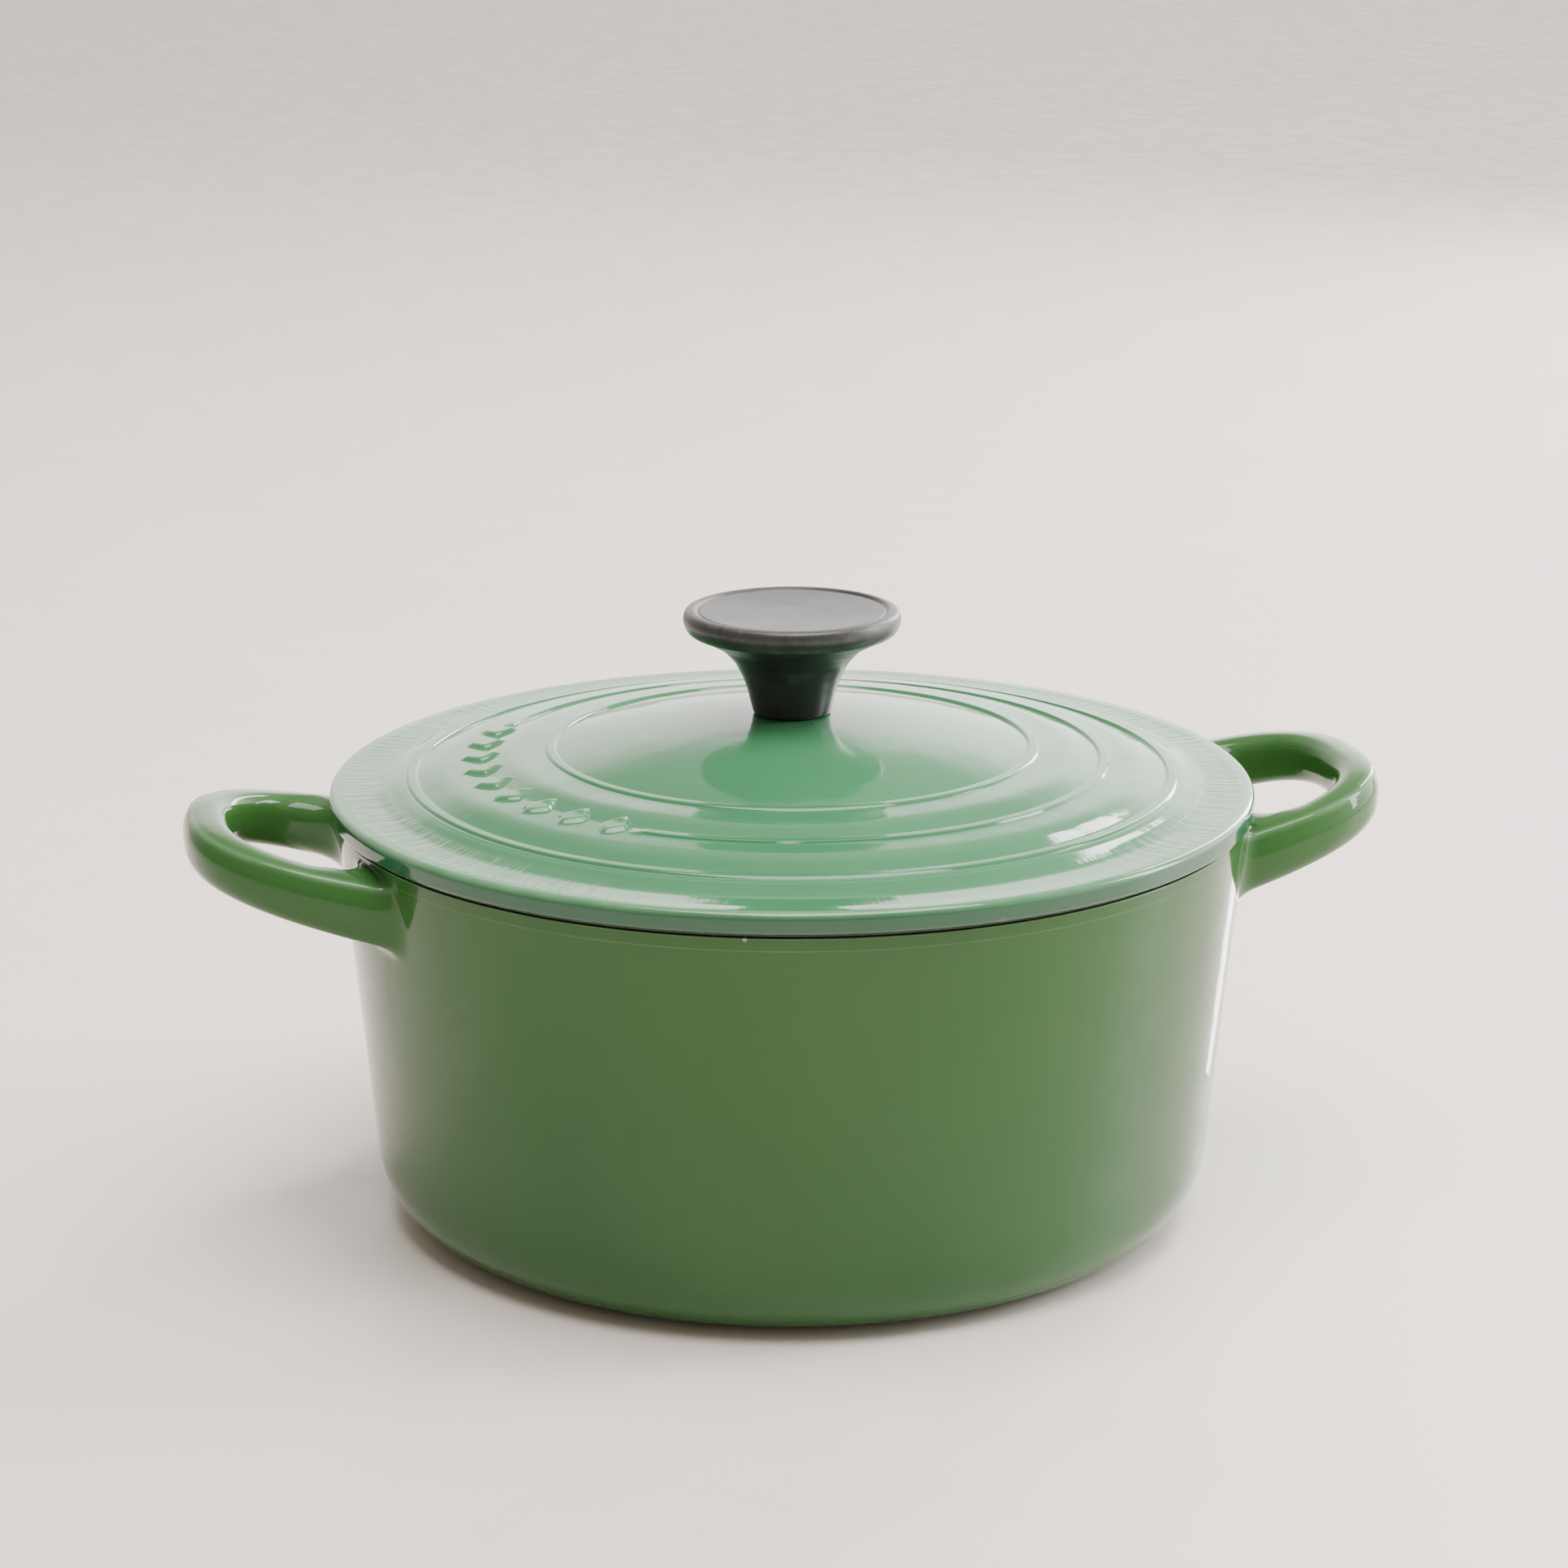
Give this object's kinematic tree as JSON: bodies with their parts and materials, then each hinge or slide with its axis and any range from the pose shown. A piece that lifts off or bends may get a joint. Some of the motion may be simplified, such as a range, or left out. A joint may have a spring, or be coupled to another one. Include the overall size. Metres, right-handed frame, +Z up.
{
  "type": "covered casserole dish",
  "caption": "Round enamelled cast-iron casserole with two loop handles and a ringed, gently domed lid under a mushroom knob.",
  "frame": {"origin": "centre of the flat base", "axes": "+Z up along the pot's axis, +X from the pot's axis towards one handle"},
  "size_m": [0.3074, 0.234, 0.1547],
  "materials": {
    "green_enamelled_iron": "glossy green enamel fused over the iron",
    "cream_enamel": "smooth glossy cream enamel",
    "black_ground_enamel": "matt black ground coat",
    "phenolic": "satin moulded phenolic",
    "brass_insert": "turned",
    "stainless_steel": "turned and brushed"
  },
  "bodies": {
    "pot": {"pot_casting": "green_enamelled_iron", "pot_lining": "cream_enamel", "pot_rim_coat": "black_ground_enamel"},
    "knob_unit": {"knob": "phenolic", "knob_insert": "brass_insert", "knob_washer": "stainless_steel", "knob_screw": "stainless_steel"},
    "lid": {"lid_casting": "green_enamelled_iron", "lid_lining": "cream_enamel", "lid_seat_coat": "black_ground_enamel"}
  },
  "joints": [
    {"name": "lid_lift", "type": "slide", "parent": "pot", "child": "knob_unit", "axis": [0, 0, 1], "range_m": [0, 0.15]},
    {"name": "lid_turn", "type": "hinge", "parent": "knob_unit", "child": "lid", "pos_m": [0, 0, 0.12], "axis": [0, 0, 1], "continuous": true}
  ]
}
